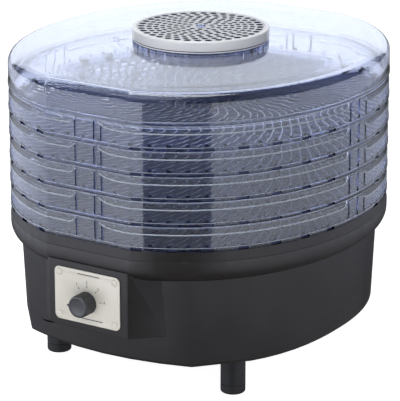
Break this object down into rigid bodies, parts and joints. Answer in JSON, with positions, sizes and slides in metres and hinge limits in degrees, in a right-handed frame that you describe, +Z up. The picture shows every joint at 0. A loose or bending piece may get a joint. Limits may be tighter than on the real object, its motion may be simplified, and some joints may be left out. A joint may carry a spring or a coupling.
{
  "type": "food dehydrator",
  "caption": "Oval tabletop food dehydrator: stacked clear drying trays and a vented clear lid on a black fan-heater base with a front temperature knob.",
  "frame": {"origin": "on the plane the feet stand on, under the centre of the object's outline, knob included", "axes": "+Z up, the control plate and knob face -Y, +X to the right as seen from the front"},
  "size_m": [0.34, 0.3904, 0.3122],
  "materials": {
    "black_plastic": "satin moulded charcoal plastic",
    "black_rubber": "matt black rubber",
    "ivory_plate": "satin ivory metal",
    "bright_metal": "bright plated steel",
    "knob_plastic": "satin black plastic",
    "motor_steel": "laminated and pressed steel",
    "coil_tape": "amber tape over the winding",
    "mica_board": "mica board and ceramic",
    "heating_wire": "nichrome wire",
    "fan_plastic": "grey-black moulded plastic",
    "wire_insulation": "heat-proof sleeve",
    "smoky_clear_plastic": "clear plastic with a faint smoky blue tint"
  },
  "bodies": {
    "base": {"base_housing": "black_plastic", "base_deck": "black_plastic", "bottom_cover": "black_plastic", "foot_front_left": "black_rubber", "foot_front_right": "black_rubber", "foot_rear_left": "black_rubber", "foot_rear_right": "black_rubber", "foot_screw_1": "bright_metal", "foot_screw_2": "bright_metal", "foot_screw_3": "bright_metal", "foot_screw_4": "bright_metal", "cord_grommet": "black_rubber", "control_plate": "ivory_plate", "plate_rivet_1": "bright_metal", "plate_rivet_2": "bright_metal", "plate_rivet_3": "bright_metal", "plate_rivet_4": "bright_metal", "thermostat_body": "motor_steel", "thermostat_nut": "bright_metal", "motor_strap": "motor_steel", "motor_stator": "motor_steel", "motor_coil": "coil_tape", "upper_bush": "bright_metal", "bearing_bridge": "motor_steel", "fan_shroud": "fan_plastic", "heater_frame": "mica_board", "heater_coil": "heating_wire", "thermal_cutout": "motor_steel", "terminal_block": "mica_board", "wire_thermostat": "wire_insulation", "wire_heater": "wire_insulation", "wire_motor": "wire_insulation"},
    "tray_1": {"tray_1": "smoky_clear_plastic"},
    "tray_2": {"tray_2": "smoky_clear_plastic"},
    "tray_3": {"tray_3": "smoky_clear_plastic"},
    "tray_4": {"tray_4": "smoky_clear_plastic"},
    "tray_5": {"tray_5": "smoky_clear_plastic"},
    "lid": {"lid": "smoky_clear_plastic", "vent_pivot": "smoky_clear_plastic"},
    "vent": {"vent_cap": "smoky_clear_plastic", "vent_shutter": "smoky_clear_plastic"},
    "knob": {"thermostat_knob": "knob_plastic", "thermostat_shaft": "bright_metal"},
    "fan": {"fan_impeller": "fan_plastic", "motor_rotor": "motor_steel", "motor_shaft": "bright_metal"}
  },
  "joints": [
    {"name": "tray_1_lift", "type": "slide", "parent": "base", "child": "tray_1", "axis": [0, 0, 1], "range_m": [0, 0.05]},
    {"name": "tray_2_lift", "type": "slide", "parent": "tray_1", "child": "tray_2", "axis": [0, 0, 1], "range_m": [0, 0.05]},
    {"name": "tray_3_lift", "type": "slide", "parent": "tray_2", "child": "tray_3", "axis": [0, 0, 1], "range_m": [0, 0.05]},
    {"name": "tray_4_lift", "type": "slide", "parent": "tray_3", "child": "tray_4", "axis": [0, 0, 1], "range_m": [0, 0.05]},
    {"name": "tray_5_lift", "type": "slide", "parent": "tray_4", "child": "tray_5", "axis": [0, 0, 1], "range_m": [0, 0.05]},
    {"name": "lid_lift", "type": "slide", "parent": "tray_5", "child": "lid", "axis": [0, 0, 1], "range_m": [0, 0.08]},
    {"name": "vent_turn", "type": "hinge", "parent": "lid", "child": "vent", "pos_m": [0, 0.00835, 0.2993], "axis": [0, 0, 1], "range_deg": [0, 30]},
    {"name": "knob_turn", "type": "hinge", "parent": "base", "child": "knob", "pos_m": [0, -0.17845, 0.0942], "axis": [0, 1, 0], "range_deg": [0, 180]},
    {"name": "fan_spin", "type": "hinge", "parent": "base", "child": "fan", "pos_m": [0, 0.00835, 0.09], "axis": [0, 0, 1], "continuous": true}
  ]
}
